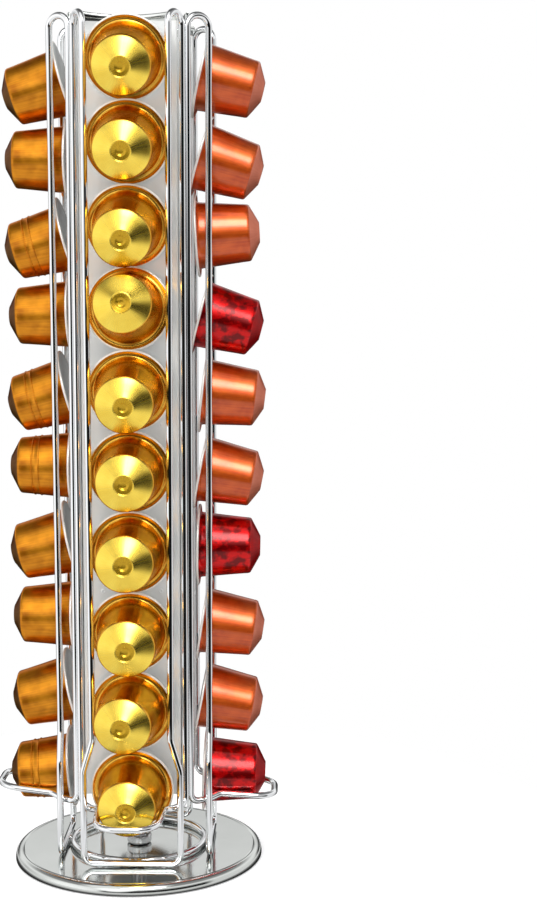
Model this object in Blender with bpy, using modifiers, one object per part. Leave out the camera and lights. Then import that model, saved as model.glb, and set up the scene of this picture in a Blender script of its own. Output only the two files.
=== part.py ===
"""A revolving chrome tower that stores forty coffee capsules in four columns.

The tower stands on a round plate with its axis on the Z axis. The column that faces -Y is
the front one. Each column is one endless bent wire: two guard wires in front of the capsules'
flanges, two posts behind them, and a rest loop at the bottom that the lowest capsule lies in.
"""

import math

import bmesh
import bpy
from mathutils import Matrix, Vector

# Fits that several pieces share, in metres
WIRE_DIAMETER = 0.0030
SEAT_GAP = 0.0003
RUNNING_GAP = 0.0004
BEARING_FIT = 0.00008
CUT_OVERRUN = 0.0010
MERGE_DISTANCE = 0.00001

# Capsule, measured from its lid along its axis
FLANGE_DIAMETER = 0.0370
FLANGE_THICKNESS = 0.0012
BODY_ROOT_DIAMETER = 0.0293
SHOULDER_DIAMETER = 0.0240
SHOULDER_FROM_LID = 0.0236
NOSE_DIAMETER = 0.0082
CAPSULE_LENGTH = 0.0288
DIMPLE_DEPTH = 0.0007
DIMPLE_TAPER = 0.0005

# Stack of capsules in one column
CAPSULES_IN_COLUMN = 10
STACK_SLACK = 0.00235
SECOND_RISE = 0.0029
STAND_BACK = 0.0027
TOP_CLEARANCE = 0.0025
NOSE_UP_REACH_SHARE = 0.8

# Wire frame of one column: guards in front, posts behind, mouth at the bottom
GUARD_LAP = 0.0027
GUARD_SPREAD = 0.0009
GUARD_STANDOFF = 0.0080
GUARD_LEAN = 0.0010
POST_CLEARANCE = 0.00325
MOUTH_CLEARANCE = 0.0015
FLARE_ABOVE_FLANGE = 0.0042
FLARE_HEIGHT = 0.0140
FLARE_BEND = 0.0080
FOOT_BEND = 0.0043

# Rest loop, where the lowest capsule lies
REST_HEIGHT = 0.0330
REST_SPACING_SHARE = 0.915
REST_NARROWING = 0.0015
REST_RUN_IN = 0.0045
NECK_DROP = 0.0012
NECK_CLEARANCE = 0.0002
NECK_BEND = 0.0050
TIP_CLEARANCE = 0.0021
TIP_RISE = 0.0028
TIP_BEND = 0.0095
ROOT_BEND = 0.0040

# Back plate, a shallow trough of sheet between the two posts
SHEET_THICKNESS = 0.0008
TROUGH_DEPTH = 0.0034
PLATE_BEHIND_POST = 0.0004
PLATE_TOP_DISH = 0.0015
PLATE_TOP_MARGIN = 0.0005

# Base plate, a pressed disc with a turned-down rim
BASE_RADIUS = 0.0569
BASE_TOP = 0.0050
BASE_SHEET = 0.0012
RIM_ROUND = 0.0034
RIM_CLEARANCE = 0.0005
FOOT_RING_INSET = 0.0045
FOOT_RING_WIDTH = 0.0040

# Spindle, its nuts and the hub that turns on it
SPINDLE_DIAMETER = 0.0060
SPINDLE_HEAD_DIAMETER = 0.0120
SPINDLE_HEAD_HEIGHT = 0.0025
COLLAR_DIAMETER = 0.0092
COLLAR_HEIGHT = 0.0030
NUT_ACROSS_FLATS = 0.0100
NUT_HEIGHT = 0.0040
CAP_NUT_HEIGHT = 0.0060
WASHER_DIAMETER = 0.0110
WASHER_THICKNESS = 0.0008
SLEEVE_WALL = 0.0018
SLEEVE_LENGTH = 0.0280
SLEEVE_BELOW_HUB = 0.0020
HUB_THICKNESS = 0.0015
HUB_ABOVE_PLATE_FOOT = 0.0010
HUB_CORNER = 0.0030

# Counts of facets and steps
CAPSULE_SEGMENTS = 16
BASE_SEGMENTS = 48
SMALL_SEGMENTS = 24
RING_SEGMENTS = 36
PLATE_STEPS = 8
RIM_STEPS = 4
WIRE_BEVEL_RESOLUTION = 2
BEND_STEP_DEGREES = 30
CONTACT_STEPS = 6

# The four columns: compass angle of each, how much of the slack its stack takes up, how far its
# rest loop is bent up or down at the tip, and how much of the second capsule's rise it has,
# which stands on the rim of the first one instead of behind it
COLUMNS = {
    "front": {"angle": -90, "slack_share": 1.00, "tip_share": -0.3, "second_share": 0.0},
    "right": {"angle": 0, "slack_share": 0.76, "tip_share": -0.7, "second_share": 0.15},
    "back": {"angle": 90, "slack_share": 0.94, "tip_share": 0.0, "second_share": 0.0},
    "left": {"angle": 180, "slack_share": 0.47, "tip_share": 1.0, "second_share": 1.0},
}

# How each capsule hangs, from the bottom up, in degrees: nose down is positive, then the turn
# of its nose to the side
HANGING = {
    "front": ((5, -1), (3, -5), (6, 0), (3, -1), (5, 0), (11, 0), (-6, -1), (14, -1), (12, 0), (15, 0)),
    "right": ((2, 0), (11, 1), (9, 0), (1, 0), (11, -1), (7, 0), (15, 0), (-3, 0), (17, 0), (14, 0)),
    "back": ((4, 0), (13, 1), (1, 0), (12, -1), (5, 0), (14, 0), (2, 1), (13, 0), (9, 0), (15, -1)),
    "left": ((5, 0), (13, 0), (1, 0), (13, 1), (0, 0), (15, 0), (2, -1), (15, 0), (0, 0), (16, 0)),
}

# The capsules of another blend, each its column and its number from the bottom up
RED_CAPSULES = (("right", 1), ("right", 4), ("right", 7))

# The level capsules that stand back from the guards, towards the plate
STANDING_BACK = (("right", 4), ("right", 8), ("left", 3), ("left", 5), ("left", 7), ("left", 9))

# Sizes worked out from the driving ones
wire_radius = WIRE_DIAMETER / 2
flange_radius = FLANGE_DIAMETER / 2
body_root_radius = BODY_ROOT_DIAMETER / 2
shoulder_radius = SHOULDER_DIAMETER / 2
guard_half_low = flange_radius - GUARD_LAP + wire_radius
post_side = flange_radius + wire_radius + POST_CLEARANCE
post_out = post_side + (WIRE_DIAMETER + SEAT_GAP) / math.sqrt(2)
guard_out_low = post_out + GUARD_STANDOFF
mouth_half = flange_radius + wire_radius + MOUTH_CLEARANCE
body_taper = (body_root_radius - shoulder_radius) / (SHOULDER_FROM_LID - FLANGE_THICKNESS)
rest_from_lid = wire_radius + SEAT_GAP + FLANGE_THICKNESS + REST_RUN_IN
body_at_rest = body_root_radius - body_taper * (rest_from_lid - FLANGE_THICKNESS)
rest_reach = body_at_rest * math.hypot(1, body_taper) + wire_radius + SEAT_GAP
rest_half_spacing = rest_reach * REST_SPACING_SHARE
rest_tip_side = rest_half_spacing - REST_NARROWING
rest_tilt = math.radians(max(hangings[0][0] for hangings in HANGING.values()))

# The lowest capsule clears the two strands where the loop begins and at its own shoulder
rest_stations = (
    (rest_from_lid, rest_reach, rest_half_spacing),
    (SHOULDER_FROM_LID, shoulder_radius + wire_radius + SEAT_GAP, rest_tip_side),
)
loop_length = CAPSULE_LENGTH + TIP_CLEARANCE + wire_radius - rest_from_lid


def lowest_capsule(tip_rise=0.0):
    """Height of the lowest capsule in a loop whose tip is bent up by the rise."""
    return REST_HEIGHT + max(
        tip_rise * (from_lid - rest_from_lid) / loop_length
        + from_lid * math.sin(rest_tilt)
        + math.sqrt(max(0, reach**2 - side**2))
        for from_lid, reach, side in rest_stations
    )


full_pitch = flange_radius + body_root_radius + STACK_SLACK
stack_top = lowest_capsule() + (CAPSULES_IN_COLUMN - 1) * full_pitch + flange_radius
tower_top = stack_top + TOP_CLEARANCE
wire_top = tower_top - wire_radius
flare_top = lowest_capsule() + flange_radius + FLARE_ABOVE_FLANGE
flare_foot = flare_top - FLARE_HEIGHT
foot_wire_height = BASE_TOP + RUNNING_GAP + wire_radius
neck_height = REST_HEIGHT - NECK_DROP
plate_foot = neck_height + ROOT_BEND
spindle_radius = SPINDLE_DIAMETER / 2
bore_radius = spindle_radius + SEAT_GAP
hub_foot = plate_foot + HUB_ABOVE_PLATE_FOOT
sleeve_foot = hub_foot - SLEEVE_BELOW_HUB
sleeve_top = sleeve_foot + SLEEVE_LENGTH
sleeve_radius = bore_radius + SLEEVE_WALL
plate_middle_out = post_out - PLATE_BEHIND_POST - TROUGH_DEPTH


def clear_scene():
    for obj in list(bpy.data.objects):
        bpy.data.objects.remove(obj, do_unlink=True)


def new_collection(name, hidden=False):
    collection = bpy.data.collections.new(name)
    bpy.context.scene.collection.children.link(collection)
    collection.hide_render = hidden
    return collection


def metal(name, colour, roughness, metallic=1.0):
    """A Principled material with a linear base colour."""
    material = bpy.data.materials.new(name)
    material.use_nodes = True
    shader = material.node_tree.nodes["Principled BSDF"]
    shader.inputs["Base Color"].default_value = (*colour, 1.0)
    shader.inputs["Roughness"].default_value = roughness
    shader.inputs["Metallic"].default_value = metallic
    return material


def guard_share(height):
    """How far up the guard wires a height lies, from the top of the flare to the top."""
    return max(0.0, height - flare_top) / (wire_top - flare_top)


def guard_out(height):
    return guard_out_low + GUARD_LEAN * guard_share(height)


def guard_half(height):
    return guard_half_low + GUARD_SPREAD * guard_share(height)


def rounded_path(corners):
    """Points along a bent wire. Each corner is its place and its bend radius."""
    points = [corners[0][0]]
    for before, (corner, radius), after in zip(corners, corners[1:], corners[2:]):
        back = (before[0] - corner).normalized()
        ahead = (after[0] - corner).normalized()
        turn = math.pi - back.angle(ahead)
        trim = radius * math.tan(turn / 2)
        start = corner + back * trim
        side = (back + ahead).normalized()
        centre = corner + side * (radius / math.cos(turn / 2))
        axis = (-back).cross(ahead).normalized()
        steps = max(1, round(math.degrees(turn) / BEND_STEP_DEGREES))
        arm = start - centre
        for step in range(steps + 1):
            angle = turn * step / steps
            swung = arm * math.cos(angle) + axis.cross(arm) * math.sin(angle)
            points.append(centre + swung)
    points.append(corners[-1][0])
    return points


def half_frame_corners(loop_tip_out, loop_tip_height):
    """Corners of the wire from the middle of its foot bar, by guard and post, to the tip of its
    rest loop. X points out of the column and Y to its side."""
    hairpin = math.hypot(post_side - guard_half(wire_top), guard_out(wire_top) - post_out) / 2
    neck_side = mouth_half - WIRE_DIAMETER - SEAT_GAP - NECK_CLEARANCE
    return [
        (Vector((guard_out_low, 0, foot_wire_height)), 0),
        (Vector((guard_out_low, mouth_half, foot_wire_height)), FOOT_BEND),
        (Vector((guard_out_low, mouth_half, flare_foot)), FLARE_BEND),
        (Vector((guard_out_low, guard_half_low, flare_top)), FLARE_BEND),
        (Vector((guard_out(wire_top), guard_half(wire_top), wire_top)), hairpin),
        (Vector((post_out, post_side, wire_top)), hairpin),
        (Vector((post_out, post_side, neck_height)), ROOT_BEND),
        (Vector((guard_out_low, neck_side, neck_height)), NECK_BEND),
        (Vector((guard_out_low + REST_RUN_IN, rest_half_spacing, REST_HEIGHT)), NECK_BEND),
        (Vector((loop_tip_out, rest_tip_side, loop_tip_height)), TIP_BEND),
        (Vector((loop_tip_out, 0, loop_tip_height)), 0),
    ]


def wire_curve(name, points, collection, material):
    """An endless round wire through the points."""
    curve = bpy.data.curves.new(name, "CURVE")
    curve.dimensions = "3D"
    curve.bevel_depth = wire_radius
    curve.bevel_resolution = WIRE_BEVEL_RESOLUTION
    spline = curve.splines.new("POLY")
    spline.points.add(len(points) - 1)
    for target, point in zip(spline.points, points):
        target.co = (*point, 1)
    spline.use_cyclic_u = True
    spline.use_smooth = True
    curve.materials.append(material)
    obj = bpy.data.objects.new(name, curve)
    collection.objects.link(obj)
    return obj


def profile_mesh(name, outline, closed):
    """The outline of a turned shape, as radius and height pairs in the XZ plane."""
    mesh = bpy.data.meshes.new(name)
    edges = [(index, index + 1) for index in range(len(outline) - 1)]
    if closed:
        edges.append((len(outline) - 1, 0))
    mesh.from_pydata([(radius, 0, height) for radius, height in outline], edges, [])
    return mesh


def turned(name, mesh, segments, collection, material):
    """An object whose Screw modifier turns the outline once round Z."""
    obj = bpy.data.objects.new(name, mesh)
    collection.objects.link(obj)
    screw = obj.modifiers.new("turn", "SCREW")
    screw.axis = "Z"
    screw.angle = math.tau
    screw.steps = segments
    screw.render_steps = segments
    screw.use_merge_vertices = True
    screw.merge_threshold = MERGE_DISTANCE
    screw.use_smooth_shade = True
    if not mesh.materials:
        mesh.materials.append(material)
    return obj


def ring_outline(inner, outer, foot, top):
    """A plain washer section. Its outer side runs down."""
    return [(inner, top), (outer, top), (outer, foot), (inner, foot)]


def cutter_cylinder(name, radius, foot, top, cutters):
    mesh = bpy.data.meshes.new(name)
    shape = bmesh.new()
    bmesh.ops.create_cone(
        shape, cap_ends=True, segments=SMALL_SEGMENTS, radius1=radius, radius2=radius, depth=top - foot
    )
    bmesh.ops.translate(shape, verts=shape.verts, vec=(0, 0, (foot + top) / 2))
    shape.to_mesh(mesh)
    shape.free()
    obj = bpy.data.objects.new(name, mesh)
    obj.hide_render = True
    obj.display_type = "WIRE"
    cutters.objects.link(obj)
    return obj


def bored_prism(name, sides, radius, foot, top, bore_foot, bore_top, collection, cutters, material):
    """A prism on the axis with a round bore. The radius reaches its corners."""
    mesh = bpy.data.meshes.new(name)
    shape = bmesh.new()
    bmesh.ops.create_cone(
        shape, cap_ends=True, segments=sides, radius1=radius, radius2=radius, depth=top - foot
    )
    flats_square = Matrix.Rotation(math.pi / sides, 3, "Z")
    bmesh.ops.rotate(shape, verts=shape.verts, cent=(0, 0, 0), matrix=flats_square)
    bmesh.ops.translate(shape, verts=shape.verts, vec=(0, 0, (foot + top) / 2))
    shape.to_mesh(mesh)
    shape.free()
    mesh.materials.append(material)
    obj = bpy.data.objects.new(name, mesh)
    collection.objects.link(obj)
    bore = obj.modifiers.new("bore", "BOOLEAN")
    bore.operation = "DIFFERENCE"
    bore.solver = "EXACT"
    bore.object = cutter_cylinder(name + "_bore", bore_radius, bore_foot, bore_top, cutters)
    return obj


def capsule_outline():
    """Half section of a capsule: radius from its axis, distance from its lid."""
    nose_radius = NOSE_DIAMETER / 2
    return [
        (0, CAPSULE_LENGTH - DIMPLE_DEPTH),
        (nose_radius - DIMPLE_TAPER, CAPSULE_LENGTH - DIMPLE_DEPTH),
        (nose_radius, CAPSULE_LENGTH),
        (shoulder_radius, SHOULDER_FROM_LID),
        (body_root_radius, FLANGE_THICKNESS),
        (flange_radius, FLANGE_THICKNESS),
        (flange_radius, 0),
        (0, 0),
    ]


def capsule_height(column, index):
    place = COLUMNS[column]
    pitch = flange_radius + body_root_radius + STACK_SLACK * place["slack_share"]
    rise = SECOND_RISE * place["second_share"] if index > 0 else 0
    return lowest_capsule(TIP_RISE * place["tip_share"]) + index * pitch + rise


def capsule_out(height, tilt, turn, stand_back):
    """Distance from the tower's axis to the middle of the lid. A nose-down capsule's flange
    leans on the round guard wires where they cross its edge, and its top reaches out between
    them. A nose-up one stays behind them, and one that stands back leaves them."""
    lean = math.sin(abs(tilt))
    reach = wire_radius + flange_radius * NOSE_UP_REACH_SHARE * lean if tilt < 0 else 0
    for step in range(CONTACT_STEPS if tilt >= 0 else 0):
        angle = math.pi / 2 * step / CONTACT_STEPS
        side = guard_half(height) - wire_radius * math.sin(angle)
        crossing = math.sqrt(flange_radius**2 - side**2)
        reach = max(reach, wire_radius * math.cos(angle) + crossing * lean)
    seat = guard_out(height) - SEAT_GAP - FLANGE_THICKNESS
    return seat - reach - guard_half(height) * math.sin(abs(turn)) - stand_back


def make_capsules(collection, parent, finishes):
    mesh = profile_mesh("capsule_outline", capsule_outline(), closed=False)
    for column, hangings in HANGING.items():
        angle = math.radians(COLUMNS[column]["angle"])
        for index in range(CAPSULES_IN_COLUMN):
            tilt, turn = (math.radians(degrees) for degrees in hangings[index % len(hangings)])
            height = capsule_height(column, index)
            stand_back = STAND_BACK if (column, index + 1) in STANDING_BACK else 0
            out = capsule_out(height, tilt, turn, stand_back)
            name = f"capsule_{column}_{index + 1:02d}"
            finish = finishes["red" if (column, index + 1) in RED_CAPSULES else column]
            obj = turned(name, mesh.copy(), CAPSULE_SEGMENTS, collection, finish)
            obj.location = (out * math.cos(angle), out * math.sin(angle), height)
            obj.rotation_euler = (0, math.pi / 2 + tilt, angle + turn)
            obj.parent = parent
    bpy.data.meshes.remove(mesh)


def make_frames(collection, parent, chrome):
    seat_out = guard_out_low - wire_radius - SEAT_GAP - FLANGE_THICKNESS
    loop_tip_out = seat_out + CAPSULE_LENGTH + TIP_CLEARANCE + wire_radius
    for column, place in COLUMNS.items():
        loop_tip_height = REST_HEIGHT + TIP_RISE * place["tip_share"]
        half = rounded_path(half_frame_corners(loop_tip_out, loop_tip_height))
        mirrored = [Vector((point.x, -point.y, point.z)) for point in reversed(half[1:-1])]
        frame = wire_curve(f"wire_frame_{column}", half + mirrored, collection, chrome)
        frame.rotation_euler = (0, 0, math.radians(place["angle"]))
        frame.parent = parent


def make_back_plates(collection, parent, mirror):
    half_width = post_side - wire_radius - SEAT_GAP
    top = tower_top - PLATE_TOP_MARGIN
    rows = []
    for step in range(PLATE_STEPS + 1):
        share = 2 * step / PLATE_STEPS - 1
        out = plate_middle_out + TROUGH_DEPTH * share**2
        dish = PLATE_TOP_DISH * (1 - share**2)
        rows.append((out, half_width * share, plate_foot, top - dish))
    for column, place in COLUMNS.items():
        mesh = bpy.data.meshes.new(f"back_plate_{column}")
        shape = bmesh.new()
        lower = [shape.verts.new((out, side, foot)) for out, side, foot, _ in rows]
        upper = [shape.verts.new((out, side, head)) for out, side, _, head in rows]
        for index in range(PLATE_STEPS):
            shape.faces.new((lower[index], lower[index + 1], upper[index + 1], upper[index]))
        shape.to_mesh(mesh)
        shape.free()
        mesh.materials.append(mirror)
        mesh.shade_smooth()
        plate = bpy.data.objects.new(f"back_plate_{column}", mesh)
        collection.objects.link(plate)
        plate.rotation_euler = (0, 0, math.radians(place["angle"]))
        plate.parent = parent
        sheet = plate.modifiers.new("sheet", "SOLIDIFY")
        sheet.thickness = SHEET_THICKNESS
        sheet.offset = -1


def make_foot_ring(collection, parent, chrome):
    """The round wire that the four foot bars are welded to."""
    radius = guard_out_low - WIRE_DIAMETER - SEAT_GAP
    points = []
    for step in range(RING_SEGMENTS):
        angle = math.tau * step / RING_SEGMENTS
        points.append((radius * math.cos(angle), radius * math.sin(angle), foot_wire_height))
    ring = wire_curve("carousel_ring", points, collection, chrome)
    ring.parent = parent


def make_hub(collection, cutters, parent, steel):
    """The plate inside the four back plates and the sleeve that turns on the spindle."""
    half = plate_middle_out - SHEET_THICKNESS - SEAT_GAP
    mesh = bpy.data.meshes.new("hub_plate")
    shape = bmesh.new()
    bmesh.ops.create_cube(shape, size=1)
    bmesh.ops.scale(shape, verts=shape.verts, vec=(2 * half, 2 * half, HUB_THICKNESS))
    bmesh.ops.translate(shape, verts=shape.verts, vec=(0, 0, hub_foot + HUB_THICKNESS / 2))
    upright = [edge for edge in shape.edges if abs((edge.verts[0].co - edge.verts[1].co).z) > MERGE_DISTANCE]
    bmesh.ops.bevel(shape, geom=upright, offset=HUB_CORNER, segments=2, profile=0.5, affect="EDGES")
    shape.to_mesh(mesh)
    shape.free()
    mesh.materials.append(steel)
    plate = bpy.data.objects.new("hub_plate", mesh)
    collection.objects.link(plate)
    plate.parent = parent
    bore = plate.modifiers.new("bore", "BOOLEAN")
    bore.operation = "DIFFERENCE"
    bore.solver = "EXACT"
    bore.object = cutter_cylinder(
        "hub_plate_bore",
        sleeve_radius + SEAT_GAP,
        hub_foot - CUT_OVERRUN,
        hub_foot + HUB_THICKNESS + CUT_OVERRUN,
        cutters,
    )
    section = ring_outline(spindle_radius + BEARING_FIT, sleeve_radius, sleeve_foot, sleeve_top)
    sleeve = turned(
        "hub_sleeve", profile_mesh("hub_sleeve", section, closed=True), SMALL_SEGMENTS, collection, steel
    )
    sleeve.parent = parent


def base_outline():
    """Section of the pressed disc, from its bore over the rim and back underneath."""
    inner_round = RIM_ROUND - BASE_SHEET
    centre_radius = BASE_RADIUS - RIM_ROUND
    centre_height = BASE_TOP - RIM_ROUND
    outer, inner = [], []
    for step in range(RIM_STEPS + 1):
        angle = math.pi / 2 * (1 - step / RIM_STEPS)
        outer.append(
            (centre_radius + RIM_ROUND * math.cos(angle), centre_height + RIM_ROUND * math.sin(angle))
        )
        inner.append(
            (centre_radius + inner_round * math.cos(angle), centre_height + inner_round * math.sin(angle))
        )
    return [
        (bore_radius, BASE_TOP),
        *outer,
        (BASE_RADIUS, RIM_CLEARANCE),
        (BASE_RADIUS - BASE_SHEET, RIM_CLEARANCE),
        *reversed(inner),
        (bore_radius, BASE_TOP - BASE_SHEET),
    ]


def make_base(collection, parent, chrome, rubber):
    section = profile_mesh("base_plate", base_outline(), closed=True)
    plate = turned("base_plate", section, BASE_SEGMENTS, collection, chrome)
    plate.parent = parent
    outer = BASE_RADIUS - FOOT_RING_INSET
    section = ring_outline(outer - FOOT_RING_WIDTH, outer, 0, BASE_TOP - BASE_SHEET - SEAT_GAP)
    foot = turned(
        "foot_ring", profile_mesh("foot_ring", section, closed=True), BASE_SEGMENTS, collection, rubber
    )
    foot.parent = parent


def make_spindle(collection, cutters, parent, steel, nylon):
    """The bolt through the base, its lock nut, the washers and the nut that keeps the hub on."""
    head_top = BASE_TOP - BASE_SHEET - SEAT_GAP
    head_foot = head_top - SPINDLE_HEAD_HEIGHT
    collar_top = sleeve_foot - WASHER_THICKNESS - 2 * SEAT_GAP
    upper_washer_foot = sleeve_top + SEAT_GAP
    cap_foot = upper_washer_foot + WASHER_THICKNESS + SEAT_GAP
    cap_top = cap_foot + CAP_NUT_HEIGHT
    spindle_top = cap_foot + CAP_NUT_HEIGHT / 2
    outline = [
        (0, spindle_top),
        (spindle_radius, spindle_top),
        (spindle_radius, collar_top),
        (COLLAR_DIAMETER / 2, collar_top),
        (COLLAR_DIAMETER / 2, collar_top - COLLAR_HEIGHT),
        (spindle_radius, collar_top - COLLAR_HEIGHT),
        (spindle_radius, head_top),
        (SPINDLE_HEAD_DIAMETER / 2, head_top),
        (SPINDLE_HEAD_DIAMETER / 2, head_foot),
        (0, head_foot),
    ]
    pieces = [
        turned("spindle", profile_mesh("spindle", outline, closed=False), SMALL_SEGMENTS, collection, steel)
    ]
    for name, foot in (("thrust_washer", collar_top + SEAT_GAP), ("upper_washer", upper_washer_foot)):
        section = ring_outline(bore_radius, WASHER_DIAMETER / 2, foot, foot + WASHER_THICKNESS)
        pieces.append(
            turned(name, profile_mesh(name, section, closed=True), SMALL_SEGMENTS, collection, nylon)
        )
    nut_corner = NUT_ACROSS_FLATS / 2 / math.cos(math.pi / 6)
    nut_foot = BASE_TOP + SEAT_GAP
    nut_top = nut_foot + NUT_HEIGHT
    pieces.append(
        bored_prism(
            "lock_nut", 6, nut_corner, nut_foot, nut_top,
            nut_foot - CUT_OVERRUN, nut_top + CUT_OVERRUN, collection, cutters, steel,
        )
    )
    pieces.append(
        bored_prism(
            "cap_nut", 6, nut_corner, cap_foot, cap_top,
            cap_foot - CUT_OVERRUN, spindle_top + SEAT_GAP, collection, cutters, steel,
        )
    )
    for piece in pieces:
        piece.parent = parent


def axis_empty(name, collection, height):
    empty = bpy.data.objects.new(name, None)
    empty.location = (0, 0, height)
    collection.objects.link(empty)
    return empty


def main():
    clear_scene()
    parts = new_collection("coffee_capsule_dispenser")
    cutters = new_collection("cutters", hidden=True)
    chrome = metal("polished chrome wire", (0.80, 0.81, 0.82), 0.06)
    mirror = metal("mirror steel sheet", (0.74, 0.75, 0.76), 0.12)
    plated = metal("polished chrome disc", (0.80, 0.80, 0.81), 0.04)
    steel = metal("zinc plated steel", (0.55, 0.56, 0.57), 0.35)
    nylon = metal("white nylon", (0.78, 0.78, 0.75), 0.45, metallic=0.0)
    rubber = metal("black rubber", (0.02, 0.02, 0.02), 0.80, metallic=0.0)
    finishes = {
        "front": metal("gold anodised aluminium", (0.72, 0.46, 0.07), 0.28),
        "right": metal("copper anodised aluminium", (0.72, 0.24, 0.12), 0.30),
        "back": metal("pale gold anodised aluminium", (0.70, 0.50, 0.16), 0.28),
        "left": metal("amber anodised aluminium", (0.66, 0.30, 0.05), 0.30),
        "red": metal("red anodised aluminium", (0.42, 0.01, 0.01), 0.30),
    }
    base_axis = axis_empty("base_axis", parts, 0)
    carousel_axis = axis_empty("carousel_axis", parts, 0)
    make_base(parts, base_axis, plated, rubber)
    make_spindle(parts, cutters, base_axis, steel, nylon)
    make_hub(parts, cutters, carousel_axis, steel)
    make_foot_ring(parts, carousel_axis, chrome)
    make_frames(parts, carousel_axis, chrome)
    make_back_plates(parts, carousel_axis, mirror)
    make_capsules(parts, carousel_axis, finishes)


main()
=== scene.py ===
# %% [markdown]
# # A revolving tower for coffee capsules
#
# The stand is a mirror-plated disc with a spindle in its middle. On the spindle turns a carousel:
# four endless bent wires, four troughs of bright sheet, and a stack of ten capsules in each of the
# four columns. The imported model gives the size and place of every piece, and it is the frame that
# everything here is built around.

# %% Load the frame
import math
from collections import Counter

import bmesh
import bpy
from mathutils import Matrix, Vector


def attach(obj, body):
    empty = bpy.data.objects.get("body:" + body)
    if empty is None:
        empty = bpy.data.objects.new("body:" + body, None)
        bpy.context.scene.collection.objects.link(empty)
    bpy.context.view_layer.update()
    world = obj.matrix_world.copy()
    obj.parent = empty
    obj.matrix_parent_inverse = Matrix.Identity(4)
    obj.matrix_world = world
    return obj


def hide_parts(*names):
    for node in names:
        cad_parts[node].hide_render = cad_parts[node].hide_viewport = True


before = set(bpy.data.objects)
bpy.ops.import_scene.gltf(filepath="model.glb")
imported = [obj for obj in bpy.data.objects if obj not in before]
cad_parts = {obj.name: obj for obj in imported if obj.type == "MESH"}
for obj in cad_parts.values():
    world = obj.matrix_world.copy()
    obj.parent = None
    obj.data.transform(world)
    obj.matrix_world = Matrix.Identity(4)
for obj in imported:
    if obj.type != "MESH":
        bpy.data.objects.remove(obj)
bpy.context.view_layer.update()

MM = 0.001

# %% [markdown]
# ## Working by hand in code
#
# Each new piece starts as a primitive and is shaped in edit mode. These helpers open a piece with
# nothing selected, and pick points, edges or faces by their place, the way a box selection would.

# %% Open, pick and leave
def to_object_mode():
    """Leaves edit mode, if a piece is open."""
    if bpy.context.mode != "OBJECT":
        bpy.ops.object.mode_set(mode="OBJECT")


def choose(*pieces):
    """Selects these pieces alone. The first one becomes the active piece."""
    to_object_mode()
    bpy.ops.object.select_all(action="DESELECT")
    for piece in pieces:
        piece.select_set(True)
    bpy.context.view_layer.objects.active = pieces[0]


def edit(piece):
    """Opens a piece in edit mode with nothing selected."""
    choose(piece)
    bpy.ops.object.mode_set(mode="EDIT")
    bpy.ops.mesh.select_all(action="DESELECT")


def pick(test, kind="VERT"):
    """Selects what passes the test by its middle, given in millimetres, and counts it."""
    bpy.ops.mesh.select_mode(type=kind)
    bpy.ops.mesh.select_all(action="DESELECT")
    shape = bmesh.from_edit_mesh(bpy.context.object.data)
    picked = 0
    for part in {"VERT": shape.verts, "EDGE": shape.edges, "FACE": shape.faces}[kind]:
        corners = [part] if kind == "VERT" else part.verts
        middle = sum((corner.co for corner in corners), Vector()) / len(corners) / MM
        if test(middle):
            part.select_set(True)
            picked += 1
    shape.select_flush_mode()
    bmesh.update_edit_mesh(bpy.context.object.data)
    return picked


def apply_all(piece):
    """Applies the piece's modifiers from the top down."""
    choose(piece)
    for modifier in list(piece.modifiers):
        bpy.ops.object.modifier_apply(modifier=modifier.name)


def smooth(piece, degrees=35):
    """Shades a piece smooth, but for the edges that are sharper than this."""
    choose(piece)
    bpy.ops.object.shade_smooth_by_angle(angle=math.radians(degrees))


# %% [markdown]
# A bent wire and a turned shape both start as a line: one point, extruded from corner to corner.
# A corner is rounded with a bevel on its point. How far the bevel reaches along the two edges
# follows from the bend radius and from how much the line turns.

# %% Draw a line, round its corners and spin it
SAME_PLACE = 0.01
ROUND_SEGMENTS = 5


def draw_line(name, points):
    """A line through points in millimetres, drawn from a small plane merged to one point."""
    to_object_mode()
    bpy.ops.object.select_all(action="DESELECT")
    bpy.ops.mesh.primitive_plane_add(size=MM)
    line = bpy.context.object
    line.name = line.data.name = name
    bpy.ops.object.mode_set(mode="EDIT")
    bpy.ops.mesh.select_mode(type="VERT")
    bpy.ops.mesh.merge(type="CENTER")
    places = [Vector(point) * MM for point in points]
    bpy.ops.transform.translate(value=places[0])
    for before, after in zip(places, places[1:]):
        bpy.ops.mesh.extrude_region_move(TRANSFORM_OT_translate={"value": after - before})
    return line


def round_corner(before, corner, after, radius, segments):
    """Bevels one corner point of the line in edit mode to an arc."""
    back, ahead = (Vector(point) - Vector(corner) for point in (before, after))
    turn = math.pi - back.angle(ahead)
    pick(lambda place: (place - Vector(corner)).length < SAME_PLACE)
    bpy.ops.mesh.bevel(
        offset=radius * math.tan(turn / 2) * MM, affect="VERTICES", segments=segments, profile=0.5
    )


def spin_round(line, steps):
    """Turns the line once round Z and closes it."""
    edit(line)
    bpy.ops.mesh.select_all(action="SELECT")
    bpy.ops.mesh.spin(steps=steps, angle=math.tau, center=(0, 0, 0), axis=(0, 0, 1))
    bpy.ops.mesh.select_all(action="SELECT")
    bpy.ops.mesh.remove_doubles(threshold=SAME_PLACE * MM)
    bpy.ops.mesh.normals_make_consistent(inside=False)
    to_object_mode()


def turned(name, profile, steps, rounds=()):
    """A turned piece. The profile holds radius and height in millimetres, and each round is the
    number of a corner with its radius."""
    points = [(radius, 0, height) for radius, height in profile]
    line = draw_line(name, points)
    for index, radius in rounds:
        before, corner, after = points[index - 1], points[index], points[(index + 1) % len(points)]
        round_corner(before, corner, after, radius, ROUND_SEGMENTS)
    spin_round(line, steps)
    smooth(line)
    return line


def keep(piece, body, slot, *nodes):
    """Says which body a finished piece rides on and the nodes it stands for. The slot is not used."""
    to_object_mode()
    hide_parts(*nodes)
    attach(piece, body)
    print(piece.name, len(piece.data.polygons), "faces")


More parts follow.
